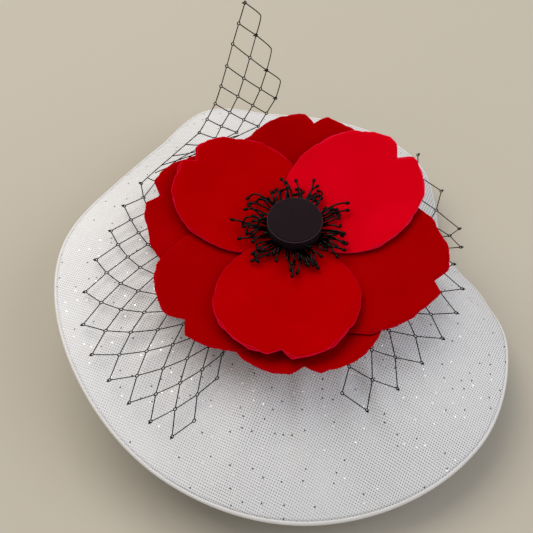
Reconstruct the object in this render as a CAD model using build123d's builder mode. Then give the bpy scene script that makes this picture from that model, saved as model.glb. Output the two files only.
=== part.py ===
from build123d import *
from math import atan2, cos, degrees, hypot, pi, radians, sin, sqrt
import os

# Poppy fascinator: a free-form saucer brim of sinamay on a small blocked cap,
# a layered fabric poppy with a covered-button eye, and cut pieces of net.
# Millimetres. Origin at the crown of the lining, where the hat meets the head;
# +Z up out of the head, -Y towards the wearer's face, +X to the viewer's right.

# ---- Cap ----
HEAD_R = 95.0            # curvature of the head under the cap
LINING_T = 0.5
CAP_T = 1.2
LAYER_GAP = 0.1          # air left between stitched layers
CAP_EDGE_R = 45.0
RIBBON_IN_R = 35.0
RIBBON_T = 0.6

# ---- Brim ----
PLY_T = 0.5
HUB_R = 12.0             # flat centre of the saucer, where it is sewn down
BRIM_UNDER_Z = 2.2       # underside of the lower ply at the centre
BRIM_TOP_Z = 2.9         # underside of the upper ply at the centre
BRIM_CURL = 2.1          # how late the saucer turns down: 1 is a cone
# Stations round the edge: (direction in degrees, radius, height over the centre).
BRIM_STATIONS = (
    (0, 125, -60), (25, 115, -75), (45, 130, -45), (60, 135, -40), (95, 145, -45),
    (112, 155, -40), (130, 140, -35), (150, 135, -25), (180, 145, -10), (210, 150, -15),
    (240, 155, -35), (275, 155, -55), (315, 155, -45), (340, 140, -40),
)
EDGE_STEPS = 72          # steps round the brim
PLY_RINGS = 7            # steps from the hub to the edge
SURFACE_TOLERANCE = 0.01
WIRE_T = 1.2
WIRE_OUT = 0.8           # wire's outer side, in from the finished edge
WIRE_IN = 2.0
PLY_INSET = 2.2
HEM_W = 4.5
HEM_T = 0.6

# ---- Poppy ----
PETAL_T = 0.5
PETAL_PLY_STEP = 0.6
PETAL_STEP = 1.3         # rise from one petal to the next in the pile
PETAL_PILE_Z = 6.2
PETAL_BOWL = 0.0014      # height of the flower's bowl per squared radius
FRONT_LENGTH, FRONT_HALF_W = 88.0, 42.0
BACK_LENGTH, BACK_HALF_W = 92.0, 49.0
# (name, direction, length, half width), in the order that they are sewn down.
PETALS = (
    ("petal_back_top", 80, BACK_LENGTH, BACK_HALF_W),
    ("petal_back_left", 160, BACK_LENGTH, BACK_HALF_W),
    ("petal_back_bottom", 273, BACK_LENGTH + 5, BACK_HALF_W),
    ("petal_back_lower_left", 225, BACK_LENGTH + 3, BACK_HALF_W - 2),
    ("petal_back_right", 335, BACK_LENGTH + 1, BACK_HALF_W + 1),
    ("petal_front_left", 139, FRONT_LENGTH - 3, FRONT_HALF_W - 2),
    ("petal_front_right", 40, FRONT_LENGTH + 1, FRONT_HALF_W),
    ("petal_front_bottom", 264, FRONT_LENGTH + 2, FRONT_HALF_W + 1),
)
BACKING_R = 28.0
BACKING_Z = 4.2
BACKING_T = 1.0

# ---- Eye ----
EYE_Y = 4.0              # the button sits a little behind the petals' centre
EYE_DISC_R = 12.0
EYE_DISC_HOLE_R = 4.0
EYE_DISC_Z = 16.9
EYE_DISC_T = 0.8
STAMEN_D = 0.7
STAMEN_Z = 18.15
STAMEN_ROOT_R = 6.0
STAMEN_BEND_R = 17.3
STAMEN_HEAD_R = 1.0
STAMEN_REACH = 29.0
STAMEN_RISE = 4.5
STAMENS_PER_BUNCH = 12
BUNCHES = ("back", "left", "front", "right")
BUTTON_R = 16.5
BUTTON_BACK_Z = 19.0
BUTTON_TOP_Z = 30.0
BUTTON_BACK_R = 14.2
BUTTON_BACK_T = 1.0
BUTTON_SHELL_T = 0.6
BUTTON_COVER_T = 0.6
BUTTON_RIM = 5.5
SHANK_WIRE_R = 0.5
SHANK_R = 2.4

# ---- Net ----
NET_T = 0.6
NET_LIFT = 5.9           # height of the lying net at the centre
NET_DROOP = 0.6          # how far it follows the brim down
NET_ROOT_R = 24.0        # its inner edge is sewn under the flower
NET_STEPS = 24
LEFT_FAN = (125, 239)    # first and last direction of each fan
LEFT_FAN_R = 111.0
LEFT_FAN_FLARE = 26.0
RIGHT_FAN = (-69, 46)
RIGHT_FAN_R = 104.0
RIGHT_FAN_TOP_FLARE = 17.0
RIGHT_FAN_FRONT_FLARE = 6.0
# Standing piece, seen from the front: left cut edge up to its tip, then down the selvedge.
STANDING_CORNERS = ((-65, 0), (-45, 60), (-30, 118), (-18, 105), (0, 45), (-10, 0))

# ---- Comb ----
COMB_W = 60.0
COMB_SPINE_H = 5.0
COMB_T = 1.6
COMB_TEETH = 16
COMB_TOOTH_W = 1.8
COMB_TOOTH_L = 30.0
COMB_Y = -24.0
COMB_HEAD_GAP = 1.6
COMB_TILT = 6.0
COMB_ARC_R = 89.0        # curve of the comb from end to end
COMB_STITCHES = 6
STITCH_D = 0.6
STITCH_SLACK = 0.3

os.makedirs("parts", exist_ok=True)


def between_stations(direction, column):
    """Value of one station column at a direction, eased by a closed cubic."""
    count = len(BRIM_STATIONS)
    angles = [station[0] for station in BRIM_STATIONS]
    turn = direction % 360
    here = max(index for index in range(count) if angles[index] <= turn)
    knots = []
    for step in (-1, 0, 1, 2):
        index = here + step
        angle = angles[index % count] + 360 * (index // count)
        knots.append((angle, BRIM_STATIONS[index % count][column]))
    (a0, v0), (a1, v1), (a2, v2), (a3, v3) = knots
    slope_1 = (v2 - v0) / (a2 - a0)
    slope_2 = (v3 - v1) / (a3 - a1)
    span = a2 - a1
    t = (turn - a1) / span
    start = (2 * t**3 - 3 * t**2 + 1) * v1 + (t**3 - 2 * t**2 + t) * span * slope_1
    end = (3 * t**2 - 2 * t**3) * v2 + (t**3 - t**2) * span * slope_2
    return start + end


def saucer(x, y):
    """Height of the brim over its flat centre."""
    direction = degrees(atan2(y, x))
    rim = between_stations(direction, 1)
    reach = (max(hypot(x, y), HUB_R) - HUB_R) / (rim - HUB_R)
    return between_stations(direction, 2) * min(reach, 1.15) ** BRIM_CURL


def bowl(x, y):
    """Height of the flower's bowl over its own centre."""
    return PETAL_BOWL * (x * x + y * y)


def lying_net(x, y):
    """Height of the net that lies over the brim."""
    return NET_DROOP * saucer(x, y)


def ease(low, high, value):
    """Smooth step from 0 at low to 1 at high."""
    t = min(max((value - low) / (high - low), 0), 1)
    return t * t * (3 - 2 * t)


def left_fan_edge(direction):
    """Radius of the left piece of net, which flares towards the front."""
    return LEFT_FAN_R + LEFT_FAN_FLARE * ease(165, 212, direction)


def right_fan_edge(direction):
    """Radius of the right piece of net, which flares at both of its ends."""
    top_flare = RIGHT_FAN_TOP_FLARE * ease(-12, 25, direction)
    return RIGHT_FAN_R + top_flare + RIGHT_FAN_FRONT_FLARE * ease(45, 70, -direction)


def standing_net(x, z):
    """Depth of the net that stands behind the flower: it leans back as it rises."""
    rise = min(max(z / 90, 0), 1)
    return 96 + 0.22 * x - 6 * sin(pi * rise) + 0.0009 * max(z - 45, 0) ** 2


def sheet(height, low, thickness, corner, opposite, pitch):
    """A sheet that follows a height over the plane, between two corners."""
    x_count = round((opposite[0] - corner[0]) / pitch) + 1
    y_count = round((opposite[1] - corner[1]) / pitch) + 1
    rows = []
    for x in [corner[0] + pitch * step for step in range(x_count)]:
        column = [corner[1] + pitch * step for step in range(y_count)]
        rows.append([(x, y, low + height(x, y)) for y in column])
    surface = Face.make_surface_from_array_of_points(rows, tol=SURFACE_TOLERANCE)
    return extrude(surface, amount=thickness, dir=(0, 0, 1))


def ring_solid(section):
    """Closed ring round the brim; section gives (radius, height) corners for a direction."""
    loops = []
    for step in range(EDGE_STEPS):
        direction = 360 * step / EDGE_STEPS
        loop = []
        for radius, height in section(direction):
            x = radius * cos(radians(direction))
            y = radius * sin(radians(direction))
            loop.append((x, y, height + saucer(x, y)))
        loops.append(loop)
    faces = []
    for step, loop in enumerate(loops):
        after = loops[(step + 1) % EDGE_STEPS]
        for corner in range(len(loop)):
            following = (corner + 1) % len(loop)
            near, far = loop[corner], after[following]
            faces.append(Face(Wire.make_polygon([near, loop[following], far])))
            faces.append(Face(Wire.make_polygon([near, far, after[corner]])))
    return Solid(Shell(faces))


def edge_ring(corners):
    """Ring along the finished edge, from its section's (inset, height) corners."""

    def section(direction):
        rim = between_stations(direction, 1)
        return [(rim - inset, height) for inset, height in corners]

    return ring_solid(section)


def ply_ring(low):
    """A brim ply from its flat hub out to its cut edge."""

    def section(direction):
        reach = between_stations(direction, 1) - PLY_INSET - HUB_R
        radii = [HUB_R + reach * ring / PLY_RINGS for ring in range(PLY_RINGS + 1)]
        under = [(radius, low) for radius in radii]
        return under + [(radius, low + PLY_T) for radius in reversed(radii)]

    return ring_solid(section)


def finish(part, name):
    """Label a finished piece and write it."""
    part.label = name
    export_step(part, f"parts/{name}.step")


# ================= Cap =================


def dome(inner_r, thickness, edge_r, hole_r):
    """Half section of a shell that sits on the head, from a hole out to a round edge."""
    with BuildSketch(Plane.XZ) as section:
        with BuildLine():
            corners = []
            for shell_r in (inner_r, inner_r + thickness):
                ends = []
                for x in (hole_r, (hole_r + edge_r) / 2, edge_r):
                    ends.append((x, sqrt(shell_r**2 - x**2) - HEAD_R))
                ThreePointArc(*ends)
                corners.append((ends[0], ends[2]))
            Line(corners[0][0], corners[1][0])
            Line(corners[0][1], corners[1][1])
        make_face()
    return section.sketch


lining_section = dome(HEAD_R, LINING_T, CAP_EDGE_R - 1, 0)
cap_section = dome(HEAD_R + LINING_T + LAYER_GAP, CAP_T, CAP_EDGE_R, 0)
ribbon_section = dome(HEAD_R - LAYER_GAP - RIBBON_T, RIBBON_T, CAP_EDGE_R - 1, RIBBON_IN_R)

with BuildPart() as base_lining:
    revolve(lining_section, axis=Axis.Z)
finish(base_lining.part, "base_lining")

with BuildPart() as base_cap:
    revolve(cap_section, axis=Axis.Z)
finish(base_cap.part, "base_cap")

with BuildPart() as headsize_ribbon:
    revolve(ribbon_section, axis=Axis.Z)
finish(headsize_ribbon.part, "headsize_ribbon")

# ================= Comb =================

COMB_Z = sqrt(HEAD_R**2 - COMB_Y**2) - HEAD_R - RIBBON_T - COMB_HEAD_GAP
comb_plane = Plane(
    origin=(0, COMB_Y, COMB_Z),
    x_dir=(1, 0, 0),
    z_dir=(0, -sin(radians(COMB_TILT)), cos(radians(COMB_TILT))),
)
tooth_pitch = (COMB_W - 6) / (COMB_TEETH - 1)
comb_tips = comb_plane.from_local_coords((0, COMB_TOOTH_L, 0))
comb_end_drop = COMB_ARC_R - sqrt(COMB_ARC_R**2 - (COMB_W / 2) ** 2)

with BuildPart() as hair_comb:
    # A strip that curves with the head from side to side.
    with BuildSketch(Plane(comb_tips, x_dir=(1, 0, 0), z_dir=-comb_plane.y_dir)):
        with BuildLine():
            half = COMB_W / 2
            ThreePointArc((-half, -comb_end_drop), (0, 0), (half, -comb_end_drop))
            Line((half, -comb_end_drop), (half, -comb_end_drop - COMB_T))
            ThreePointArc(
                (half, -comb_end_drop - COMB_T), (0, -COMB_T), (-half, -comb_end_drop - COMB_T)
            )
            Line((-half, -comb_end_drop - COMB_T), (-half, -comb_end_drop))
        make_face()
    extrude(amount=COMB_TOOTH_L + COMB_SPINE_H)
    # The gaps between the teeth, cut through the strip.
    with BuildSketch(comb_plane.offset(-20)):
        with Locations((0, COMB_TOOTH_L / 2 + COMB_TOOTH_W / 2)):
            with GridLocations(tooth_pitch, 0, COMB_TEETH - 1, 1):
                Rectangle(tooth_pitch - COMB_TOOTH_W, COMB_TOOTH_L)
    extrude(amount=40, mode=Mode.SUBTRACT)
finish(hair_comb.part, "hair_comb")

with BuildPart() as comb_stitches:
    # Loops of thread round the comb's spine.
    for stitch in range(COMB_STITCHES):
        x = -COMB_W / 2 + 5 + (COMB_W - 10) * stitch / (COMB_STITCHES - 1)
        drop = COMB_ARC_R - sqrt(COMB_ARC_R**2 - x**2)
        middle = comb_plane.from_local_coords((x, -COMB_SPINE_H / 2, -drop - COMB_T / 2))
        across = COMB_T / 2 + STITCH_SLACK
        along = COMB_SPINE_H / 2 + STITCH_SLACK
        with BuildSketch(Plane(middle, x_dir=comb_plane.y_dir, z_dir=(1, 0, 0))):
            RectangleRounded(2 * along + 2 * STITCH_D, 2 * across + 2 * STITCH_D, 0.9)
            RectangleRounded(2 * along, 2 * across, 0.4, mode=Mode.SUBTRACT)
        extrude(amount=STITCH_D / 2, both=True)
finish(comb_stitches.part, "comb_stitches")

# ================= Brim =================

for ply_name, ply_z in (("brim_under_ply", BRIM_UNDER_Z), ("brim_top_ply", BRIM_TOP_Z)):
    ply = ply_ring(ply_z)
    with BuildPart() as brim_ply:
        add(ply)
        with BuildSketch(Plane.XY.offset(ply_z)):
            RegularPolygon(HUB_R, EDGE_STEPS)
        extrude(amount=PLY_T)
    finish(brim_ply.part, ply_name)

wire_low, wire_high = BRIM_UNDER_Z, BRIM_UNDER_Z + WIRE_T
wire_ring = edge_ring(
    ((WIRE_IN, wire_low), (WIRE_OUT, wire_low), (WIRE_OUT, wire_high), (WIRE_IN, wire_high))
)
with BuildPart() as brim_wire:
    add(wire_ring)
finish(brim_wire.part, "brim_wire")

fold_low, fold_high = wire_low - LAYER_GAP, wire_high + LAYER_GAP
fold_in = WIRE_OUT - LAYER_GAP
hem_ring = edge_ring(
    (
        (HEM_W, fold_low - HEM_T), (0, fold_low - HEM_T),
        (0, fold_high + HEM_T), (HEM_W, fold_high + HEM_T),
        (HEM_W, fold_high), (fold_in, fold_high),
        (fold_in, fold_low), (HEM_W, fold_low),
    )
)
with BuildPart() as brim_hem:
    # A folded strip: over the top, round the wire and back underneath.
    add(hem_ring)
finish(brim_hem.part, "brim_hem")

# ================= Poppy =================

with BuildPart() as flower_backing:
    with BuildSketch(Plane.XY.offset(BACKING_Z)):
        Circle(BACKING_R)
    extrude(amount=BACKING_T)
finish(flower_backing.part, "flower_backing")


def petal_plan(direction, length, half_width):
    """Plan of one petal: a broad fan with a notch in the middle of its outer edge."""
    with BuildSketch(Plane.XY.offset(-20) * Rot(0, 0, direction)) as plan:
        with BuildLine():
            for side in (1, -1):
                Spline(
                    (0, 0),
                    (0.13 * length, side * 0.56 * half_width),
                    (0.30 * length, side * 0.90 * half_width),
                    (0.48 * length, side * half_width),
                    (0.68 * length, side * 0.90 * half_width),
                    (0.86 * length, side * 0.62 * half_width),
                    (0.98 * length, side * 0.28 * half_width),
                    (length, side * 0.07 * half_width),
                )
                Line((length, side * 0.07 * half_width), (0.93 * length, 0))
        make_face()
    return plan.sketch


for place, (petal_name, direction, length, half_width) in enumerate(PETALS):
    plan = petal_plan(direction, length, half_width)
    for ply, ply_name in enumerate(("under", "top")):
        low = PETAL_PILE_Z + PETAL_STEP * place + PETAL_PLY_STEP * ply
        cloth = sheet(bowl, low, PETAL_T, (-105, -105), (105, 105), 30)
        with BuildPart() as petal:
            add(cloth)
            extrude(plan, amount=90, dir=(0, 0, 1), mode=Mode.INTERSECT)
        finish(petal.part, f"{petal_name}_{ply_name}")

# ================= Eye =================

with BuildPart() as eye_disc:
    with BuildSketch(Plane.XY.offset(EYE_DISC_Z)):
        Circle(EYE_DISC_R)
        Circle(EYE_DISC_HOLE_R, mode=Mode.SUBTRACT)
    extrude(amount=EYE_DISC_T)
finish(Pos(0, EYE_Y, 0) * eye_disc.part, "eye_disc")


def stamen(reach, tip_z):
    """One lacquered thread along +X, laid flat and then turned up to its bead."""
    corners = [
        Vector(STAMEN_ROOT_R, 0, STAMEN_Z),
        Vector(STAMEN_BEND_R, 0, STAMEN_Z),
        Vector(reach, 0, tip_z),
    ]
    with BuildPart() as thread:
        for start, end in zip(corners, corners[1:]):
            with BuildSketch(Plane(origin=start, x_dir=(0, 1, 0), z_dir=end - start)):
                Circle(STAMEN_D / 2)
            extrude(amount=(end - start).length)
        with Locations(corners[1]):
            Sphere(STAMEN_D / 2)
        with Locations(corners[2]):
            Sphere(STAMEN_HEAD_R)
    return thread.part


stamen_total = STAMENS_PER_BUNCH * len(BUNCHES)
for bunch, bunch_name in enumerate(BUNCHES):
    threads = []
    for count in range(STAMENS_PER_BUNCH):
        number = bunch * STAMENS_PER_BUNCH + count
        reach = STAMEN_REACH + 4.5 * sin(2.3 * number) + 2.5 * sin(5.1 * number)
        tip_z = STAMEN_Z + STAMEN_RISE + 2 * sin(3.7 * number)
        turn = 360 * number / stamen_total + 46.3
        threads.append(Pos(0, EYE_Y, 0) * Rot(0, 0, turn) * stamen(reach, tip_z))
    with BuildPart() as stamens:
        add(threads)
    finish(stamens.part, f"stamens_{bunch_name}")


def button_profile(radius, low, top, rim):
    """Half section of a domed button body, as a closed profile."""
    shoulder = low + rim
    rise = top - shoulder
    dome_r = (radius**2 + rise**2) / (2 * rise)
    halfway = top - dome_r + sqrt(dome_r**2 - (radius / 2) ** 2)
    with BuildSketch(Plane.XZ) as section:
        with BuildLine():
            Polyline((0, top), (0, low), (radius, low), (radius, shoulder))
            ThreePointArc((radius, shoulder), (radius / 2, halfway), (0, top))
        make_face()
    return section.sketch


shell_r = BUTTON_R - BUTTON_COVER_T - LAYER_GAP
shell_low = BUTTON_BACK_Z + 0.4
shell_top = BUTTON_TOP_Z - BUTTON_COVER_T - LAYER_GAP

with BuildPart() as button_back:
    with BuildSketch(Plane.XY.offset(BUTTON_BACK_Z)):
        Circle(BUTTON_BACK_R)
    extrude(amount=BUTTON_BACK_T)
    # Wire shank: a half loop that the sewing thread passes through.
    with Locations((0, 0, BUTTON_BACK_Z + 0.1)):
        Torus(SHANK_R, SHANK_WIRE_R, major_angle=180, rotation=(-90, 0, 0))
finish(Pos(0, EYE_Y, 0) * button_back.part, "button_back")

shell_section = button_profile(shell_r, shell_low, shell_top, BUTTON_RIM) - button_profile(
    shell_r - BUTTON_SHELL_T, shell_low - 1, shell_top - BUTTON_SHELL_T, BUTTON_RIM + 1
)
cover_section = button_profile(BUTTON_R, BUTTON_BACK_Z, BUTTON_TOP_Z, BUTTON_RIM) - button_profile(
    shell_r + LAYER_GAP, BUTTON_BACK_Z - 1, BUTTON_TOP_Z - BUTTON_COVER_T, BUTTON_RIM + 1
)

with BuildPart() as button_shell:
    revolve(shell_section, axis=Axis.Z)
finish(Pos(0, EYE_Y, 0) * button_shell.part, "button_shell")

with BuildPart() as button_cover:
    revolve(cover_section, axis=Axis.Z)
finish(Pos(0, EYE_Y, 0) * button_cover.part, "button_cover")

# ================= Net =================


def fan_plan(first, last, edge):
    """Plan of a fan of net, from its inner edge out to a radius given for each direction."""
    outer, inner = [], []
    for step in range(NET_STEPS + 1):
        direction = first + (last - first) * step / NET_STEPS
        ray = Vector(cos(radians(direction)), sin(radians(direction)))
        outer.append(ray * edge(direction))
        inner.append(ray * NET_ROOT_R)
    with BuildSketch(Plane.XY.offset(-80)) as plan:
        with BuildLine():
            Polyline(*outer, *reversed(inner), close=True)
        make_face()
    return plan.sketch


fans = (("veil_left", LEFT_FAN, left_fan_edge), ("veil_right", RIGHT_FAN, right_fan_edge))
for net_name, span, edge in fans:
    plan = fan_plan(*span, edge)
    net_sheet = sheet(lying_net, NET_LIFT, NET_T, (-140, -140), (140, 140), 14)
    with BuildPart() as veil:
        add(net_sheet)
        extrude(plan, amount=120, dir=(0, 0, 1), mode=Mode.INTERSECT)
    finish(veil.part, net_name)

back_rows = []
for x in range(-100, 20, 10):
    back_rows.append([(x, standing_net(x, z), z) for z in range(-20, 140, 10)])
back_surface = Face.make_surface_from_array_of_points(back_rows, tol=SURFACE_TOLERANCE)
back_sheet = extrude(back_surface, amount=NET_T, dir=(0, 1, 0))

with BuildPart() as veil_standing:
    add(back_sheet)
    with BuildSketch(Plane.XZ.offset(-140)):
        with BuildLine():
            Polyline(*STANDING_CORNERS, close=True)
        make_face()
    extrude(amount=100, mode=Mode.INTERSECT)
finish(veil_standing.part, "veil_standing")
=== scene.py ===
import logging
import math
import random
from dataclasses import dataclass, field
from enum import Enum
from typing import Callable, Sequence

import bmesh
import bpy
from mathutils import Euler, Matrix, Vector


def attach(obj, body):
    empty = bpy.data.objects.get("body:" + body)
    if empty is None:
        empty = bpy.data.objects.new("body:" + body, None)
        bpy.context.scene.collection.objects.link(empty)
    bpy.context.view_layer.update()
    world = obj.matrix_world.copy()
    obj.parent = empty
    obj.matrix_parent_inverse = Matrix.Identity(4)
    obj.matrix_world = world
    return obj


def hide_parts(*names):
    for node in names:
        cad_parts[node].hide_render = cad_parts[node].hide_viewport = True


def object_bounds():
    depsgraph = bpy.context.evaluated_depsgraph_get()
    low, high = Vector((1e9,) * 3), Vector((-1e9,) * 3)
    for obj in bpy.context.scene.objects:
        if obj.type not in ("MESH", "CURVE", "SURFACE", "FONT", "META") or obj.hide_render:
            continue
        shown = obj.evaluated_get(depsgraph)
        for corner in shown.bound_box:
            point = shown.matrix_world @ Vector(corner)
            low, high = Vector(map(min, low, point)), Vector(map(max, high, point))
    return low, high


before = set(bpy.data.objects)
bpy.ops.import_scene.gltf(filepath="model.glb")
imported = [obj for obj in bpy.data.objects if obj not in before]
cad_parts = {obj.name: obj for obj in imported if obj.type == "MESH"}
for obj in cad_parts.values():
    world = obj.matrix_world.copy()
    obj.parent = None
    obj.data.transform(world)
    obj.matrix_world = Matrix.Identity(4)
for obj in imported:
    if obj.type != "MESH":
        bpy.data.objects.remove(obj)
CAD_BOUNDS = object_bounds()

LOG = logging.getLogger("fascinator")
MM = 0.001

# ---- Sizes that the saucer, the flower and the net share, in millimetres ----
HUB_R = 12.0
BRIM_CURL = 2.1
BRIM_UNDER_Z = 2.2
BRIM_TOP_Z = 2.9
BRIM_CENTRE_Z = 3.4
# The edge's stations, by (direction in degrees, radius, height over the centre).
BRIM_STATIONS = (
    (0, 125, -60), (25, 115, -75), (45, 130, -45), (60, 135, -40), (95, 145, -45),
    (112, 155, -40), (130, 140, -35), (150, 135, -25), (180, 145, -10), (210, 150, -15),
    (240, 155, -35), (275, 155, -55), (315, 155, -45), (340, 140, -40),
)
NET_LIFT = 5.9  # height of the lying net at the centre
NET_DROOP = 0.6  # how far the net follows the brim down
FRONT_PETALS_FROM = 5  # place in the pile of the first front petal


def between_stations(direction: float, column: int) -> float:
    """Value of one station column at a direction, eased by a closed cubic.

    Args:
        direction: degrees round the brim from +X.
        column: 1 for the radius, 2 for the height.

    Returns:
        The value in millimetres.
    """
    count = len(BRIM_STATIONS)
    angles = [station[0] for station in BRIM_STATIONS]
    turn = direction % 360
    here = max(index for index in range(count) if angles[index] <= turn)
    knots = []
    for step in (-1, 0, 1, 2):
        index = here + step
        knots.append((angles[index % count] + 360 * (index // count), BRIM_STATIONS[index % count][column]))
    (a0, v0), (a1, v1), (a2, v2), (a3, v3) = knots
    span = a2 - a1
    slope_1 = span * (v2 - v0) / (a2 - a0)
    slope_2 = span * (v3 - v1) / (a3 - a1)
    t = (turn - a1) / span
    start = (2 * t**3 - 3 * t**2 + 1) * v1 + (t**3 - 2 * t**2 + t) * slope_1
    return start + (3 * t**2 - 2 * t**3) * v2 + (t**3 - t**2) * slope_2


def saucer(x: float, y: float) -> float:
    """Height of the brim over its flat centre.

    Args:
        x: millimetres to the viewer's right.
        y: millimetres towards the back.

    Returns:
        Millimetres, negative where the brim turns down.
    """
    rim = between_stations(math.degrees(math.atan2(y, x)), 1)
    reach = (max(math.hypot(x, y), HUB_R) - HUB_R) / (rim - HUB_R)
    return between_stations(math.degrees(math.atan2(y, x)), 2) * min(reach, 1.15) ** BRIM_CURL


def smoothstep(low: float, high: float, value: float) -> float:
    """Ease from 0 to 1.

    Args:
        low: value that gives 0.
        high: value that gives 1.
        value: the value to ease.

    Returns:
        A number from 0 to 1.
    """
    t = min(max((value - low) / (high - low), 0.0), 1.0)
    return t * t * (3 - 2 * t)


def linear(hex_colour: str, alpha: float = 1.0) -> tuple[float, float, float, float]:
    """Linear colour of an sRGB hex value.

    Args:
        hex_colour: six hex digits.
        alpha: opacity.

    Returns:
        Red, green, blue and alpha for a shader socket.
    """
    parts = [int(hex_colour[place:place + 2], 16) / 255 for place in (0, 2, 4)]
    red, green, blue = (c / 12.92 if c <= 0.04045 else ((c + 0.055) / 1.055) ** 2.4 for c in parts)
    return red, green, blue, alpha


# ================= Shader and mesh helpers =================


class Shader:
    """A material's node tree, with one call to add a node, its settings and its links."""

    def __init__(self, name: str) -> None:
        """Start an empty material with a principled shader.

        Args:
            name: the material's name.
        """
        self.material = bpy.data.materials.new(name)
        self.material.use_nodes = True
        self.tree = self.material.node_tree
        self.principled = self.tree.nodes["Principled BSDF"]

    def add(self, kind: str, settings: dict | None = None, **inputs: object) -> bpy.types.Node:
        """Add a node.

        Args:
            kind: the node's type, such as "ShaderNodeMath".
            settings: attributes of the node.
            inputs: socket name or "i" and its number, to a value or another node's socket.

        Returns:
            The new node.
        """
        node = self.tree.nodes.new(kind)
        for key, value in (settings or {}).items():
            setattr(node, key, value)
        for key, value in inputs.items():
            socket = node.inputs[int(key[1:])] if key[1:].isdigit() else node.inputs[key.replace("_", " ")]
            if isinstance(value, bpy.types.NodeSocket):
                self.tree.links.new(value, socket)
            else:
                socket.default_value = value
        return node

    def math(self, operation: str, *values: object, clamp: bool = False) -> bpy.types.NodeSocket:
        """Add a Math node.

        Args:
            operation: the node's operation, such as "SINE".
            values: numbers or sockets, in order.
            clamp: whether the result stays between 0 and 1.

        Returns:
            The result socket.
        """
        inputs = {f"i{place}": value for place, value in enumerate(values)}
        return self.add("ShaderNodeMath", {"operation": operation, "use_clamp": clamp}, **inputs).outputs[0]

    def shade(self, **inputs: object) -> None:
        """Set or link sockets of the principled shader.

        Args:
            inputs: socket name, with underscores for spaces, to a value or another socket.
        """
        for key, value in inputs.items():
            socket = self.principled.inputs[key.replace("_", " ")]
            if isinstance(value, bpy.types.NodeSocket):
                self.tree.links.new(value, socket)
            else:
                socket.default_value = value

    def mix(self, factor: object, first: object, second: object) -> bpy.types.NodeSocket:
        """Mix two colours.

        Args:
            factor: 0 for the first colour and 1 for the second.
            first: colour or socket.
            second: colour or socket.

        Returns:
            The colour socket.
        """
        node = self.add("ShaderNodeMix", {"data_type": "RGBA"})
        for socket, value in ((node.inputs[0], factor), (node.inputs[6], first), (node.inputs[7], second)):
            if isinstance(value, bpy.types.NodeSocket):
                self.tree.links.new(value, socket)
            else:
                socket.default_value = value
        return node.outputs[2]

    def bump(self, height: bpy.types.NodeSocket, strength: float, distance: float) -> None:
        """Send a height to the shader's normal.

        Args:
            height: the socket that gives the height.
            strength: share of the effect.
            distance: metres of relief.
        """
        node = self.add("ShaderNodeBump", Height=height, Strength=strength, Distance=distance)
        self.shade(Normal=node.outputs[0])


def mapped_grid(
    name: str,
    across: int,
    along: int,
    place: Callable[[float, float], Vector],
    spread: Callable[[float, float], tuple[float, float]],
    weld: float = 1e-6,
) -> bpy.types.Object:
    """Make a cloth surface from a grid that a rule bends into shape.

    Args:
        name: the object's name.
        across: squares along the first direction.
        along: squares along the second direction.
        place: gives a point in millimetres for two numbers from 0 to 1.
        spread: gives the UV for the same two numbers.
        weld: merge distance in metres, which closes seams and poles.

    Returns:
        The object, at the origin and linked to the scene.
    """
    mesh = bpy.data.meshes.new(name)
    shape = bmesh.new()
    bmesh.ops.create_grid(shape, x_segments=across, y_segments=along, size=0.5)
    uv = shape.loops.layers.uv.new("UVMap")
    for face in shape.faces:
        for loop in face.loops:
            u, v = loop.vert.co.x + 0.5, loop.vert.co.y + 0.5
            loop[uv].uv = spread(u, v)
    for vert in shape.verts:
        vert.co = place(vert.co.x + 0.5, vert.co.y + 0.5) * MM
    bmesh.ops.remove_doubles(shape, verts=shape.verts, dist=weld)
    bmesh.ops.dissolve_degenerate(shape, edges=shape.edges, dist=weld)
    bmesh.ops.recalc_face_normals(shape, faces=shape.faces)
    for face in shape.faces:
        face.smooth = True
    shape.to_mesh(mesh)
    shape.free()
    return link(bpy.data.objects.new(name, mesh))


def link(piece: bpy.types.Object) -> bpy.types.Object:
    """Put a piece in the scene.

    Args:
        piece: the object.

    Returns:
        The same object.
    """
    bpy.context.scene.collection.objects.link(piece)
    return piece


def thicken(piece: bpy.types.Object, thickness: float) -> None:
    """Give a sheet its real thickness, half to each side.

    Args:
        piece: the sheet.
        thickness: millimetres.
    """
    solid = piece.modifiers.new("thickness", "SOLIDIFY")
    solid.thickness = thickness * MM
    solid.offset = 0.0


def tubes(
    name: str,
    runs: Sequence[tuple[Sequence[Vector], bool]],
    radius: float,
    sides: int = 2,
) -> bpy.types.Object:
    """Make round threads along runs of points.

    Args:
        name: the object's name.
        runs: each run's points in millimetres, and whether it closes on itself.
        radius: thread radius in millimetres.
        sides: bevel resolution of the round section.

    Returns:
        One mesh object that holds every thread.
    """
    curve = bpy.data.curves.new(name, "CURVE")
    curve.dimensions = "3D"
    curve.bevel_depth = radius * MM
    curve.bevel_resolution = sides
    curve.resolution_u = 4
    curve.use_fill_caps = True
    for points, closed in runs:
        spline = curve.splines.new("NURBS")
        spline.points.add(len(points) - 1)
        for place, point in enumerate(points):
            spline.points[place].co = (*(point * MM), 1.0)
        spline.use_cyclic_u = closed
        spline.order_u = 3
        spline.use_endpoint_u = not closed
    holder = link(bpy.data.objects.new(name + "_line", curve))
    graph = bpy.context.evaluated_depsgraph_get()
    mesh = bpy.data.meshes.new_from_object(holder.evaluated_get(graph))
    mesh.name = name
    bpy.data.objects.remove(holder)
    for polygon in mesh.polygons:
        polygon.use_smooth = True
    mesh.materials.clear()
    return link(bpy.data.objects.new(name, mesh))


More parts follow.
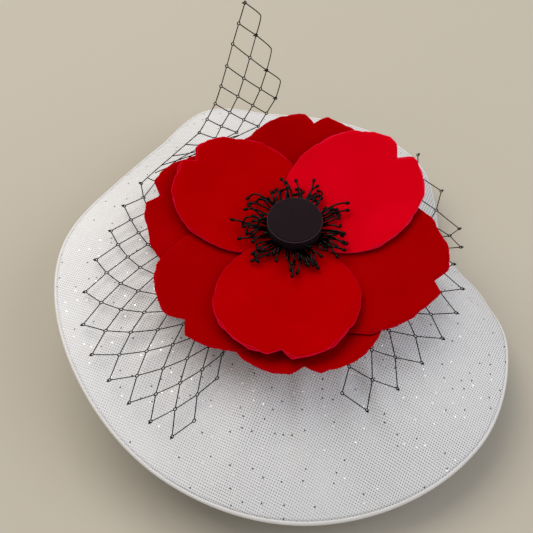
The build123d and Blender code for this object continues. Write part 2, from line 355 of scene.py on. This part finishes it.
def dress(piece: bpy.types.Object, material: bpy.types.Material, slot: str, *nodes: str) -> bpy.types.Object:
    """Give a piece its material and body, and hide the CAD nodes that it stands for.

    Args:
        piece: the object.
        material: its finish.
        slot: the record's material slot; not used.
        nodes: names of the CAD nodes that it replaces.

    Returns:
        The same object.
    """
    piece.data.materials.clear()
    piece.data.materials.append(material)
    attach(piece, "root")
    if nodes:
        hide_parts(*nodes)
    LOG.info("%s: %d faces", piece.name, len(piece.data.polygons))
    return piece


# ================= Finishes =================


@dataclass(frozen=True)
class WovenFinish:
    """A plain woven cloth: two threads that pass over and under each other."""

    name: str
    colour: str
    shade_colour: str
    pitch_mm: float
    relief: float
    roughness: float = 0.85
    sheen: float = 0.2

    def build(self) -> bpy.types.Material:
        """Make the material for a piece whose UV map is in metres.

        Returns:
            The material.
        """
        shader = Shader(self.name)
        uv = shader.add("ShaderNodeTexCoord").outputs["UV"]
        parts = shader.add("ShaderNodeSeparateXYZ", i0=uv)
        turns = 2 * math.pi / (self.pitch_mm * MM)
        warp = shader.math("SINE", shader.math("MULTIPLY", parts.outputs[0], turns))
        weft = shader.math("SINE", shader.math("MULTIPLY", parts.outputs[1], turns))
        weave = shader.math("MULTIPLY_ADD", shader.math("MULTIPLY", warp, weft), 0.5, 0.5)
        cloud = shader.add("ShaderNodeTexNoise", Vector=uv, Scale=60.0, Detail=3.0)
        level = shader.math("MULTIPLY_ADD", weave, 0.35, shader.math("MULTIPLY", cloud.outputs[0], 0.5))
        colour = shader.mix(level, linear(self.shade_colour), linear(self.colour))
        shader.shade(Base_Color=colour, Roughness=self.roughness, Sheen_Weight=self.sheen)
        shader.shade(Specular_IOR_Level=0.15)
        shader.bump(weave, self.relief, self.pitch_mm * MM * 0.3)
        return shader.material


@dataclass(frozen=True)
class PetalCloth:
    """Stiffened crepe: dead matt, a faint weave, and a paler cut edge."""

    name: str = "stiffened_crepe"
    colour: str = "ae0004"
    shade_colour: str = "960000"
    edge_colour: str = "d40f34"
    pitch_mm: float = 1.1  # real crepe is nearer 0.5 mm, drawn coarser so that it shows

    def build(self) -> bpy.types.Material:
        """Make the material; the UV map's first number is the reach from the root to the edge.

        Returns:
            The material.
        """
        shader = Shader(self.name)
        coords = shader.add("ShaderNodeTexCoord")
        reach = shader.add("ShaderNodeSeparateXYZ", i0=coords.outputs["UV"]).outputs[0]
        parts = shader.add("ShaderNodeSeparateXYZ", i0=coords.outputs["Object"])
        turns = 2 * math.pi / (self.pitch_mm * MM)
        warp = shader.math("SINE", shader.math("MULTIPLY", parts.outputs[0], turns))
        weft = shader.math("SINE", shader.math("MULTIPLY", parts.outputs[1], turns))
        weave = shader.math("MULTIPLY", warp, weft)
        cloud = shader.add("ShaderNodeTexNoise", Vector=coords.outputs["Object"], Scale=35.0, Detail=4.0)
        level = shader.math("MULTIPLY_ADD", weave, 0.12, cloud.outputs[0])
        body = shader.mix(level, linear(self.shade_colour), linear(self.colour))
        edge = shader.add("ShaderNodeMapRange", Value=reach)
        edge.inputs[1].default_value = 0.993
        edge.inputs[2].default_value = 0.999
        colour = shader.mix(edge.outputs[0], body, linear(self.edge_colour))
        shader.shade(Base_Color=colour, Roughness=1.0, Specular_IOR_Level=0.0)
        shader.bump(weave, 0.25, 0.0002)
        return shader.material


@dataclass(frozen=True)
class Sinamay:
    """Stiffened open weave: pale straw threads with see-through gaps and fine glitter."""

    name: str
    colour: str = "e6e8ec"
    shade_colour: str = "cccfd4"
    pitch_mm: float = 1.45
    gap_opacity: float = 0.45
    opens_to_right: float = 1.8  # how fast the gaps open towards +X, per metre
    fleck_cells: float = 170.0  # one place for a fleck every 6 mm
    fleck_size: float = 0.085
    fleck_chance: float = 0.38
    turn_degrees: float = 0.0

    def build(self) -> bpy.types.Material:
        """Make the material for a piece whose UV map is in metres.

        Returns:
            The material.
        """
        shader = Shader(self.name)
        uv = shader.add("ShaderNodeTexCoord").outputs["UV"]
        turned = shader.add("ShaderNodeMapping", Vector=uv)
        turned.inputs["Rotation"].default_value = (0, 0, math.radians(self.turn_degrees))
        wobble = shader.add("ShaderNodeTexNoise", Vector=turned.outputs[0], Scale=9.0, Detail=2.0)
        scale, total = {"operation": "SCALE"}, {"operation": "ADD"}
        shift = shader.add("ShaderNodeVectorMath", scale, i0=wobble.outputs["Color"], Scale=0.012)
        bent = shader.add("ShaderNodeVectorMath", total, i0=turned.outputs[0], i1=shift.outputs[0])
        parts = shader.add("ShaderNodeSeparateXYZ", i0=bent.outputs[0])
        turns = 2 * math.pi / (self.pitch_mm * MM)
        waves = []
        for axis in (0, 1):
            wave = shader.math("COSINE", shader.math("MULTIPLY", parts.outputs[axis], turns))
            waves.append(shader.math("MULTIPLY_ADD", wave, 0.5, 0.5))
        thread = shader.math("MAXIMUM", waves[0], waves[1])
        cover = shader.add("ShaderNodeMapRange", Value=thread)
        cover.inputs[1].default_value = 0.30
        cover.inputs[2].default_value = 0.60
        # The dressing fills the gaps in some places and leaves them open in others.
        patch = shader.add("ShaderNodeTexNoise", Vector=uv, Scale=14.0, Detail=3.0)
        dressed = shader.math("MULTIPLY_ADD", patch.outputs[0], 1.5, self.gap_opacity - 0.6)
        place = shader.add("ShaderNodeSeparateXYZ", i0=uv)
        filled = shader.math("MULTIPLY_ADD", place.outputs[0], -self.opens_to_right, dressed, clamp=True)
        shader.tree.links.new(filled, cover.inputs[3])
        slub = shader.add("ShaderNodeTexNoise", Vector=uv, Scale=240.0, Detail=2.0)
        tone = shader.math("MULTIPLY_ADD", thread, 0.6, shader.math("MULTIPLY", slub.outputs[0], 0.4))
        cloth = shader.mix(tone, linear(self.shade_colour), linear(self.colour))
        # Loose glitter: the flecks are real, but half are coloured white as painted glints and half dark grey
        # as painted shade, standing in for how each catches the light.
        flat = {"voronoi_dimensions": "2D"}
        flecks = shader.add("ShaderNodeTexVoronoi", flat, Vector=uv, Scale=self.fleck_cells)
        small = shader.math("LESS_THAN", flecks.outputs["Distance"], self.fleck_size)
        chance = shader.add("ShaderNodeSeparateColor", Color=flecks.outputs["Color"])
        there = shader.math("GREATER_THAN", chance.outputs[0], 1 - self.fleck_chance)
        fleck = shader.math("MULTIPLY", small, there)
        fleck_painted_bright = shader.math("GREATER_THAN", chance.outputs[1], 0.5)
        fleck_painted_glint = shader.mix(fleck_painted_bright, linear("5b5c60"), linear("ffffff"))
        colour = shader.mix(fleck, cloth, fleck_painted_glint)
        shader.shade(
            Base_Color=colour,
            Metallic=shader.math("MULTIPLY", fleck, 0.6),
            Roughness=shader.math("MULTIPLY_ADD", fleck, -0.5, 0.72),
            Alpha=shader.math("MAXIMUM", cover.outputs[0], fleck),
        )
        shader.bump(thread, 0.5, 0.0004)
        return shader.material


@dataclass(frozen=True)
class PlainFinish:
    """A plain smooth or slightly mottled finish, such as lacquer, wire or moulded plastic."""

    name: str
    colour: str
    roughness: float
    metallic: float = 0.0
    alpha: float = 1.0
    grain: float = 900.0
    relief: float = 0.1
    specular: float = 0.5

    def build(self) -> bpy.types.Material:
        """Make the material, with a little grain in its colour and gloss.

        Returns:
            The material.
        """
        shader = Shader(self.name)
        place = shader.add("ShaderNodeTexCoord").outputs["Object"]
        noise = shader.add("ShaderNodeTexNoise", Vector=place, Scale=self.grain, Detail=2.0)
        red, green, blue, _ = linear(self.colour)
        worn = (red * 0.8, green * 0.8, blue * 0.8, 1.0)
        colour = shader.mix(noise.outputs[0], worn, (red, green, blue, 1.0))
        rough = shader.math("MULTIPLY_ADD", noise.outputs[0], 0.1, self.roughness - 0.05)
        shader.shade(Base_Color=colour, Roughness=rough, Metallic=self.metallic, Alpha=self.alpha)
        shader.shade(Specular_IOR_Level=self.specular)
        shader.bump(noise.outputs[0], self.relief, 0.0001)
        return shader.material


# ================= Brim =================


@dataclass
class Brim:
    """The saucer: two plies of sinamay, and the folded strip over the wired edge."""

    turns: int = 300
    rings: int = 90
    ply_mm: float = 0.4
    ply_inset_mm: float = 2.0
    hem_inset_mm: float = 1.3
    hem_half_w_mm: float = 0.95
    hem_half_h_mm: float = 1.1
    gather_mm: float = 1.1

    def gathers(self, direction: float, radius: float) -> float:
        """Height of the soft pleats that run out from under the flower.

        Args:
            direction: degrees round the brim.
            radius: millimetres from the centre.

        Returns:
            Millimetres.
        """
        start = smoothstep(30, 80, radius)
        fade = 1 - smoothstep(105, 145, radius)
        angle = math.radians(direction)
        front = 0.35 + 0.65 * smoothstep(-0.3, 0.9, -math.sin(angle))
        wave = math.sin(23 * angle + 1.3 * math.sin(5 * angle)) + 0.5 * math.sin(41 * angle + 2.0)
        return self.gather_mm * start * fade * front * wave

    def point(self, direction: float, radius: float, level: float) -> Vector:
        """A point of the brim.

        Args:
            direction: degrees round the brim.
            radius: millimetres from the centre.
            level: height at the centre, in millimetres.

        Returns:
            The point in millimetres.
        """
        x = radius * math.cos(math.radians(direction))
        y = radius * math.sin(math.radians(direction))
        return Vector((x, y, level + saucer(x, y) + self.gathers(direction, radius)))

    def ply(self, name: str, level: float, finish: Sinamay, node: str) -> None:
        """Make one ply of the saucer as a sheet.

        Args:
            name: the piece's name.
            level: its underside at the centre, in millimetres.
            finish: the sinamay.
            node: the CAD node that it stands for.
        """

        def reach(u: float, v: float) -> tuple[float, float]:
            direction = 360 * u
            return direction, v * (between_stations(direction, 1) - self.ply_inset_mm)

        def place(u: float, v: float) -> Vector:
            return self.point(*reach(u % 1.0, v), level + self.ply_mm / 2)

        def spread(u: float, v: float) -> tuple[float, float]:
            direction, radius = reach(u, v)
            angle = math.radians(direction)
            return radius * math.cos(angle) * MM, radius * math.sin(angle) * MM

        piece = mapped_grid(name, self.turns, self.rings, place, spread)
        thicken(piece, self.ply_mm)
        dress(piece, finish.build(), "sinamay", node)

    def hem(self) -> None:
        """Make the folded strip as one closed roll round the edge."""

        def place(u: float, v: float) -> Vector:
            direction = 360 * (u % 1.0)
            around = 2 * math.pi * (v % 1.0)
            rim = between_stations(direction, 1) - self.hem_inset_mm
            radius = rim + self.hem_half_w_mm * math.cos(around)
            middle = (BRIM_UNDER_Z + BRIM_CENTRE_Z) / 2
            return self.point(direction, radius, middle + self.hem_half_h_mm * math.sin(around))

        def spread(u: float, v: float) -> tuple[float, float]:
            return 0.9 * u, 0.009 * v

        piece = mapped_grid("brim_edge_roll", self.turns, 12, place, spread, weld=1e-6)
        finish = WovenFinish("sinamay_bias_strip", "f2f2f3", "d6d6d8", 1.4, 0.6, 0.7)
        dress(piece, finish.build(), "sinamay_hem", "brim_hem", "brim_wire")

    def build(self) -> None:
        """Build both plies and the hem."""
        self.ply("brim_upper_ply", BRIM_TOP_Z, Sinamay("sinamay_upper", turn_degrees=24), "brim_top_ply")
        under = Sinamay("sinamay_lower", colour="e6e7ea", turn_degrees=47)
        self.ply("brim_lower_ply", BRIM_UNDER_Z, under, "brim_under_ply")
        self.hem()


# ================= Poppy =================


@dataclass(frozen=True)
class PetalPlace:
    """Where a petal is sewn: its direction, length, half width and place in the pile."""

    name: str
    direction: float
    length: float
    half_width: float
    order: int


@dataclass
class Poppy:
    """Eight petals of two plies each, cut from crepe, cupped by hand and sewn down in order."""

    pile_z_mm: float = 6.2
    petal_step_mm: float = 1.3
    ply_step_mm: float = 0.6
    ply_mm: float = 0.4
    bowl: float = 0.0014
    notch_mm: float = 7.0
    notch_degrees: float = 5.0
    fan_degrees: float = 74.0
    cut_share: float = 0.8  # a petal's area as a share of the rectangle that it is cut from
    petals: tuple[PetalPlace, ...] = (
        PetalPlace("petal_back_top", 80, 92, 49, 0),
        PetalPlace("petal_back_left", 160, 92, 49, 1),
        PetalPlace("petal_back_bottom", 273, 97, 49, 2),
        PetalPlace("petal_back_lower_left", 225, 95, 47, 3),
        PetalPlace("petal_back_right", 335, 93, 50, 4),
        PetalPlace("petal_front_left", 139, 85, 40, 5),
        PetalPlace("petal_front_right", 40, 89, 42, 6),
        PetalPlace("petal_front_bottom", 264, 90, 43, 7),
    )

    def outline(self, petal: PetalPlace, angle: float, ply: int) -> float:
        """Reach of the cut edge from the root.

        Args:
            petal: the petal.
            angle: degrees to one side of its middle.
            ply: 0 for the under ply, 1 for the upper.

        Returns:
            Millimetres, with the notch and the hand-cut unevenness.
        """
        fan = max(math.cos(1.2 * math.radians(angle)), 0.0) ** 0.75
        seed = 1.7 * petal.order + 0.9 * ply
        notch = self.notch_mm * max(0.0, 1 - abs(angle - 1.5 * math.sin(seed)) / self.notch_degrees)
        broad = 0.9 * math.sin(0.16 * angle + seed) + 0.5 * math.sin(0.37 * angle + 2.1 * seed)
        fine = 0.22 * math.asin(math.sin(0.8 * angle + 3 * seed)) + 0.07 * math.sin(1.9 * angle + seed)
        return petal.length * fan - notch + (broad + fine) * min(1.0, 2 * fan)

    def point(self, petal: PetalPlace, u: float, v: float, ply: int) -> Vector:
        """A point of a petal ply.

        Args:
            petal: the petal.
            u: place across the fan, from 0 to 1.
            v: reach, from 0 at the root to 1 at the cut edge.
            ply: 0 for the under ply, 1 for the upper.

        Returns:
            The point in millimetres.
        """
        angle = self.fan_degrees * (2 * u - 1)
        reach = v * self.outline(petal, angle, ply)
        along = reach * math.cos(math.radians(angle))
        natural_half_width = 0.49 * petal.length
        across = reach * math.sin(math.radians(angle)) * petal.half_width / natural_half_width
        turn = math.radians(petal.direction)
        x = along * math.cos(turn) - across * math.sin(turn)
        y = along * math.sin(turn) + across * math.cos(turn)
        radius = math.hypot(x, y)
        level = self.pile_z_mm + self.petal_step_mm * petal.order + self.ply_step_mm * ply + 0.25
        front = petal.order >= FRONT_PETALS_FROM
        lift = (4.0 if front else 1.5) * (radius / 90) ** 3
        side = abs(across) / petal.half_width
        curl = (2.2 if front else 0.0) * side**3 * (reach / petal.length)
        ripple = 0.5 * (0.4 + 0.6 * front) * math.sin(0.11 * angle + 2.4 * petal.order) * (radius / 90) ** 2
        return Vector((x, y, level + self.bowl * radius**2 + lift + curl + ripple))

    def build(self) -> None:
        """Build every petal ply from one crepe, with a darker copy on the back petals as painted shade and a
        brighter copy on the front right petal as painted light.
        """
        # The back petals' darker crepe is painted shade: the same cloth as the front petals.
        back_cloth_painted_shade = PetalCloth("crepe_back_petals_painted_shade", "a00002", "8a0000", "b80418").build()
        front_cloth = PetalCloth("crepe_front_petals").build()
        # The front right petal's brighter crepe is painted light: the same cloth, lightened where it faces
        # the lamp.
        front_right_cloth_painted_light = PetalCloth("crepe_front_right_petal", "d0001a", "b8000c", "e02048").build()
        for petal in self.petals:
            cloth = front_cloth if petal.order >= FRONT_PETALS_FROM else back_cloth_painted_shade
            if petal.name == "petal_front_right":
                cloth = front_right_cloth_painted_light
            for ply, ply_name in enumerate(("under", "top")):
                piece = mapped_grid(
                    f"{petal.name}_{ply_name}_cloth",
                    220,
                    26,
                    lambda u, v, petal=petal, ply=ply: self.point(petal, u, v, ply),
                    lambda u, v: (v, u),
                    weld=2e-6,
                )
                thicken(piece, self.ply_mm)
                dress(piece, cloth, "poppy_crepe", f"{petal.name}_{ply_name}")


# ================= Eye =================


@dataclass
class Eye:
    """The covered button and the lacquered stamens round it."""

    stamens_per_bunch: int = 24
    bunches: tuple[str, ...] = ("back", "left", "front", "right")
    thread_r_mm: float = 0.6
    head_r_mm: float = 1.15
    root_z_mm: float = 18.15
    centre_y_mm: float = 4.0
    button_r_mm: float = 16.45
    button_low_mm: float = 19.0
    button_top_mm: float = 30.0
    edge_round_mm: float = 1.8
    dome_mm: float = 1.2

    def button(self) -> None:
        """Spin the cloth-covered button from its flat-domed section."""
        mesh = bpy.data.meshes.new("button_cloth_cover")
        shape = bmesh.new()
        shoulder = self.button_top_mm - self.dome_mm - self.edge_round_mm
        profile = [(self.button_r_mm - 1.0, self.button_low_mm), (self.button_r_mm, self.button_low_mm + 1.0)]
        profile.append((self.button_r_mm, shoulder - 1.0))
        for step in range(9):
            turn = math.pi / 2 * step / 8
            flat_r = self.button_r_mm - self.edge_round_mm
            out, up = self.edge_round_mm * math.cos(turn), self.edge_round_mm * math.sin(turn)
            profile.append((flat_r + out, shoulder + up))
        dome_start = self.button_r_mm - self.edge_round_mm
        for step in range(1, 11):
            radius = dome_start * (1 - step / 10)
            lift = self.dome_mm * (1 - (radius / dome_start) ** 2)
            profile.append((radius, shoulder + self.edge_round_mm + lift))
        verts = [shape.verts.new((radius * MM, 0, z * MM)) for radius, z in profile]
        edges = [shape.edges.new(pair) for pair in zip(verts, verts[1:])]
        bmesh.ops.spin(
            shape,
            geom=verts + edges,
            cent=(0, 0, 0),
            axis=(0, 0, 1),
            angle=2 * math.pi,
            steps=96,
            use_merge=True,
        )
        bmesh.ops.remove_doubles(shape, verts=shape.verts, dist=1e-6)
        bmesh.ops.recalc_face_normals(shape, faces=shape.faces)
        bmesh.ops.translate(shape, verts=shape.verts, vec=(0, self.centre_y_mm * MM, 0))
        uv = shape.loops.layers.uv.new("UVMap")
        for face in shape.faces:
            face.smooth = True
            for loop in face.loops:
                loop[uv].uv = (loop.vert.co.x, loop.vert.co.y)
        shape.to_mesh(mesh)
        shape.free()
        piece = link(bpy.data.objects.new("button_cloth_cover", mesh))
        thicken(piece, 0.4)
        finish = WovenFinish("aubergine_button_cloth", "21121a", "0c060a", 0.9, 0.5, 0.9, 0.0)
        dress(piece, finish.build(), "button_cloth", "button_cover")

    def seam(self) -> None:
        """Make the thin fold of cloth round the button's edge, coloured paler than the button as a painted
        highlight.
        """
        radius = self.button_r_mm - 0.35
        level = self.button_top_mm - self.dome_mm - 0.75
        ring = []
        for step in range(48):
            turn = 2 * math.pi * step / 48
            ring.append(Vector((radius * math.cos(turn), self.centre_y_mm + radius * math.sin(turn), level)))
        piece = tubes("button_edge_fold", [(ring, True)], 0.3)
        # The fold is the button's own cloth; its paler colour is a painted highlight where the edge catches
        # the light.
        finish = PlainFinish("button_fold_painted_highlight", "4a3a42", 0.8, relief=0.0, specular=0.2)
        dress(piece, finish.build(), "button_cloth")

    def stamen(self, number: int, dice: random.Random) -> list[Vector]:
        """Points of one thread, from under the button out to its bead, with its own curl.

        Args:
            number: the thread's place round the eye.
            dice: source of the small differences.

        Returns:
            Points in millimetres.
        """
        total = self.stamens_per_bunch * len(self.bunches)
        even = 360 * number / total + 46.3
        turn = even + 5 * math.sin(math.radians(7 * even)) + dice.uniform(-2.5, 2.5)
        reach = 30 + 4.2 * math.sin(2.3 * number) + 2.5 * math.sin(5.1 * number)
        reach += dice.uniform(-1.5, 1.5)
        reach -= 4.5 * (number % 2)
        tip_z = self.root_z_mm + 4.5 + 2.0 * math.sin(3.7 * number)
        bend = dice.uniform(-14, 14)
        points = []
        for share, extra in ((0.0, 0.0), (0.38, 0.0), (0.62, 1.5), (0.85, 2.2), (1.0, 0.0)):
            radius = 6 + (reach - 6) * share
            angle = math.radians(turn + bend * share**2)
            z = self.root_z_mm + (tip_z - self.root_z_mm) * share**1.5 + extra * (share > 0.5)
            points.append(Vector((radius * math.cos(angle), self.centre_y_mm + radius * math.sin(angle), z)))
        if number % 5 == 0:
            side = Vector((-math.sin(angle), math.cos(angle), -0.5)) * 3.0
            points.append(points[-1] + side)
        return points

    def stamens(self) -> None:
        """Build each bunch: its threads, with a bead at the end of each."""
        lacquer = PlainFinish("black_lacquer", "010101", 0.16, relief=0.0, specular=0.12).build()
        dice = random.Random(11)
        for bunch, name in enumerate(self.bunches):
            first = bunch * self.stamens_per_bunch
            runs = [self.stamen(first + count, dice) for count in range(self.stamens_per_bunch)]
            piece = tubes(f"stamen_threads_{name}", [(run, False) for run in runs], self.thread_r_mm)
            dress(piece, lacquer, "stamen_lacquer", f"stamens_{name}")
            mesh = bpy.data.meshes.new(f"stamen_beads_{name}")
            shape = bmesh.new()
            for run in runs:
                heading = (run[-1] - run[-2]).to_track_quat("Z", "Y").to_matrix().to_4x4()
                stretch = Matrix.Diagonal((1.0, 1.0, 1.45, 1.0))
                place = Matrix.Translation(run[-1] * MM) @ heading @ stretch
                bmesh.ops.create_icosphere(shape, subdivisions=2, radius=self.head_r_mm * MM, matrix=place)
            for face in shape.faces:
                face.smooth = True
            shape.to_mesh(mesh)
            shape.free()
            dress(link(bpy.data.objects.new(mesh.name, mesh)), lacquer, "stamen_lacquer")

    def build(self) -> None:
        """Build the button and the stamens."""
        self.button()
        self.seam()
        self.stamens()


# ================= Net =================


Place = tuple[int, int]
Knots = dict[Place, Vector]


class NetPiece(Enum):
    """The three cut pieces of net."""

    LEFT = "veil_left"
    RIGHT = "veil_right"
    STANDING = "veil_standing"


@dataclass
class Veil:
    """Knotted net: a lattice of threads with a small open knot at each crossing."""

    piece: NetPiece
    thread_r_mm: float = 0.32
    knot_r_mm: float = 1.05
    stub_mm: float = 1.8

    def lying(self, direction: float, radius: float) -> Vector:
        """A point of the net that lies over the brim.

        Args:
            direction: degrees round the brim.
            radius: millimetres from the centre.

        Returns:
            The point in millimetres.
        """
        x = radius * math.cos(math.radians(direction))
        y = radius * math.sin(math.radians(direction))
        swell = 0.8 * math.sin(math.radians(direction * 7)) * smoothstep(60, 120, radius)
        return Vector((x, y, NET_LIFT + NET_DROOP * saucer(x, y) + 0.4 + swell))

    def knot(self, column: int, row: int) -> Vector:
        """Place of a knot.

        Args:
            column: place along the cut edge.
            row: place inwards from the cut edge.

        Returns:
            The point in millimetres.
        """
        c = column + row / 2
        if self.piece is NetPiece.LEFT:
            direction = 162 + 11.3 * c - 0.3 * c * c
            radius = 111 + 26 * smoothstep(165, 212, direction)
            spacing = 8.5 + 5.0 * smoothstep(165, 225, direction)
            return self.lying(direction, radius - spacing * row)
        if self.piece is NetPiece.RIGHT:
            direction = 35 - 11.5 * c
            radius = 104 + 17 * smoothstep(-12, 25, direction) + 6 * smoothstep(45, 70, -direction)
            curled_under = 15 * max(0.0, 1 - abs(direction - 5) / 12)
            return self.lying(direction, radius - curled_under - 13.0 * row)
        x = -29 + 6.2 * row - 3.8 * column
        z = 115 - 25 * row - 14.1 * column
        x -= 4.0 * smoothstep(50, 10, z)
        rise = min(max(z / 90, 0), 1)
        y = 96 + 0.22 * x - 6 * math.sin(math.pi * rise) + 0.0009 * max(z - 45, 0) ** 2
        return Vector((x, y + 0.3, z))

    def lattice(self) -> tuple[Knots, list[tuple[Place, Place]]]:
        """Knots of this piece of net, and the threads between them.

        Returns:
            Each knot's point by (column, row), and the pairs of knots that a thread joins.
        """
        knots = {}
        if self.piece is NetPiece.STANDING:
            for row in range(4):
                for column in range(9):
                    point = self.knot(column, row)
                    if point.z > 4:
                        knots[column, row] = point
            steps = ((1, 0), (-1, 1))
        else:
            first = -1
            for row in range(6):
                for column in range(first, 10 - row // 2):
                    knots[column, row] = self.knot(column, row)
            steps = ((0, 1), (-1, 1))
        threads = []
        for column, row in knots:
            for across, down in steps:
                after = (column + across, row + down)
                if after in knots:
                    threads.append(((column, row), after))
        return knots, threads

    def gathered_foot(self, knots: Knots) -> list[tuple[list[Vector], bool]]:
        """Threads that run from the standing net's foot round into the left fan, drawn together.

        Args:
            knots: the standing net's knots.

        Returns:
            Runs of points in millimetres, none of them closed.
        """
        feet = []
        for row in range(4):
            column = max(column for column, knot_row in knots if knot_row == row)
            feet.append(knots[column, row])
        waist = [self.lying(144 - 5 * row, 109 - 4 * row) for row in range(4)]
        ends = [Veil(NetPiece.LEFT).knot(-1, row) for row in range(4)]
        runs = []
        for foot, middle, end in zip(feet, waist, ends):
            middle = middle + Vector((0, 0, 2.0))
            runs.append(([foot, foot.lerp(middle, 0.5), middle, middle.lerp(end, 0.6), end], False))
        for share in (0.3, 0.6, 0.85):
            lift = Vector((0, 0, 2.0 * share))
            tie = [foot.lerp(middle, share) + lift for foot, middle in zip(feet, waist)]
            runs.append((tie, False))
        for share in (0.0, 0.5):
            runs.append(([middle.lerp(end, share) for middle, end in zip(waist, ends)], False))
        return runs

    def build(self, cord: bpy.types.Material) -> None:
        """Build the threads and knots of this piece of net.

        Args:
            cord: the thread's material.
        """
        knots, threads = self.lattice()
        runs = []
        for start, end in threads:
            a, b = knots[start], knots[end]
            along = (b - a).normalized()
            sag = Vector((0, 0, -0.25))
            middle = (a + b) / 2 + sag
            runs.append(([a + along * self.knot_r_mm, middle, b - along * self.knot_r_mm], False))
        if self.piece is NetPiece.STANDING:
            runs.extend(self.gathered_foot(knots))
            for row in range(3):
                top, low = knots[0, row], knots[0, row + 1]
                corner = top + (knots[0, row + 1] - knots[1, row])
                runs.append(([top, top.lerp(corner, 0.85), corner.lerp(low, 0.15), low], False))
        for place, (key, point) in enumerate(knots.items()):
            if self.piece is NetPiece.STANDING:
                across, out = Vector((1, 0.2, 0)), Vector((0, 0.1, 1))
            else:
                out = Vector((point.x, point.y, 0)).normalized()
                across = Vector((-out.y, out.x, 0))
            ring = []
            for corner in range(6):
                turn = math.radians(60 * corner + 13 * place)
                lozenge = across * math.cos(turn) * 0.8 + out * math.sin(turn) * 1.2
                ring.append(point + self.knot_r_mm * lozenge)
            runs.append((ring, True))
            cut = key[0] == 0 if self.piece is NetPiece.STANDING else key[1] == 0
            if cut:
                away = -across if self.piece is NetPiece.STANDING else out
                runs.append(([point, point + away * self.stub_mm * 0.6, point + away * self.stub_mm], False))
        piece = tubes(self.piece.value + "_net", runs, self.thread_r_mm, sides=1)
        dress(piece, cord, "veil_net", self.piece.value)


# ================= Cap, comb and hidden pieces =================


@dataclass
class Underside:
    """The cap, its lining and ribbon, the comb, and the small hidden fittings."""

    finishes: dict[str, WovenFinish | PlainFinish] = field(
        default_factory=lambda: {
            "base_cap": WovenFinish("blocked_buckram", "ecebe6", "d2d0c8", 1.3, 0.5),
            "base_lining": WovenFinish("cotton_lawn", "f1efe9", "e2dfd6", 0.8, 0.3),
            "headsize_ribbon": WovenFinish("petersham_rib", "efeeea", "d4d2cc", 1.2, 0.6),
            "flower_backing": WovenFinish("wool_felt", "5a0a10", "3c0609", 1.4, 0.4),
            "eye_disc": WovenFinish("black_felt", "1a1216", "0e090b", 1.2, 0.4),
            "hair_comb": PlainFinish("clear_acetate", "f4f2ea", 0.2, alpha=0.55),
            "comb_stitches": PlainFinish("polyester_thread", "eeeeea", 0.6),
            "button_back": PlainFinish("plated_steel", "b9bbbf", 0.3, 1.0),
            "button_shell": PlainFinish("pressed_aluminium", "c9cbce", 0.35, 1.0),
        }
    )

    def object_woven(self, finish: WovenFinish | PlainFinish) -> bpy.types.Material:
        """Make a material for a CAD piece, which has no UV map, on its own coordinates.

        Args:
            finish: the finish.

        Returns:
            The material.
        """
        material = finish.build()
        tree = material.node_tree
        for node in tree.nodes:
            if node.type == "TEX_COORD":
                for line in list(node.outputs["UV"].links):
                    tree.links.new(node.outputs["Object"], line.to_socket)
        return material

    def build(self) -> None:
        """Dress each CAD piece that keeps its own shape."""
        for node, finish in self.finishes.items():
            material = self.object_woven(finish)
            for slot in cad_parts[node].material_slots:
                slot.material = material
            LOG.info("%s: dressed", node)


# ================= Studio =================


@dataclass
class Studio:
    """A plain pale floor, soft light from above on both sides, and the camera."""

    elevation: float = 57.0
    distance_m: float = 0.72
    view_width_mm: float = 323.0
    aim_mm: tuple[float, float, float] = (-16.7, -8.9, -2.4)

    def lamp(
        self,
        name: str,
        place: tuple[float, float, float],
        size: float,
        power: float,
        colour: str,
    ) -> None:
        """Add a soft square light that points at the hat.

        Args:
            name: the light's name.
            place: metres.
            size: side in metres.
            power: watts.
            colour: six hex digits.
        """
        light = bpy.data.lights.new(name, "AREA")
        light.size = size
        light.energy = power
        light.color = linear(colour)[:3]
        holder = link(bpy.data.objects.new(name, light))
        holder.location = place
        holder.rotation_euler = (-Vector(place)).to_track_quat("-Z", "Y").to_euler()

    def build(self) -> None:
        """Build the floor, the lights, the world and the camera."""
        mesh = bpy.data.meshes.new("floor")
        shape = bmesh.new()
        bmesh.ops.create_grid(shape, x_segments=1, y_segments=1, size=3.0)
        bmesh.ops.translate(shape, verts=shape.verts, vec=(0, 0, CAD_BOUNDS[0][2] - 0.002))
        shape.to_mesh(mesh)
        shape.free()
        floor = link(bpy.data.objects.new("floor", mesh))
        paint = Shader("pale_floor_paint")
        paint.shade(Base_Color=linear("b9b4a8"), Roughness=0.95)
        floor.data.materials.append(paint.material)
        self.lamp("key", (-0.5, 0.5, 1.35), 1.3, 17, "fff6ea")
        self.lamp("fill", (1.1, -0.3, 1.2), 1.2, 7, "eef3ff")
        world = bpy.data.worlds.new("soft_room")
        world.use_nodes = True
        world.node_tree.nodes["Background"].inputs[0].default_value = linear("f4f1ec")
        world.node_tree.nodes["Background"].inputs[1].default_value = 0.55
        bpy.context.scene.world = world
        bpy.context.scene.view_settings.view_transform = "Standard"
        camera = bpy.data.cameras.new("camera")
        camera.sensor_width = 36.0
        camera.lens = camera.sensor_width * self.distance_m / (self.view_width_mm * MM)
        holder = link(bpy.data.objects.new("camera", camera))
        tilt = math.radians(self.elevation)
        back = Vector((0, -math.cos(tilt), math.sin(tilt)))
        holder.location = Vector(self.aim_mm) * MM + back * self.distance_m
        holder.rotation_euler = Euler((math.pi / 2 - tilt, 0, 0))
        bpy.context.scene.camera = holder


def main() -> None:
    """Build the hat in the order that it is made, then the studio."""
    logging.basicConfig(level=logging.INFO, format="%(message)s")
    Underside().build()
    Brim().build()
    Poppy().build()
    Eye().build()
    cord = PlainFinish("dark_veil_thread", "0d070c", 0.85, relief=0.0, specular=0.1).build()
    for piece in NetPiece:
        Veil(piece).build(cord)
    Studio().build()


if __name__ == "__main__":
    main()
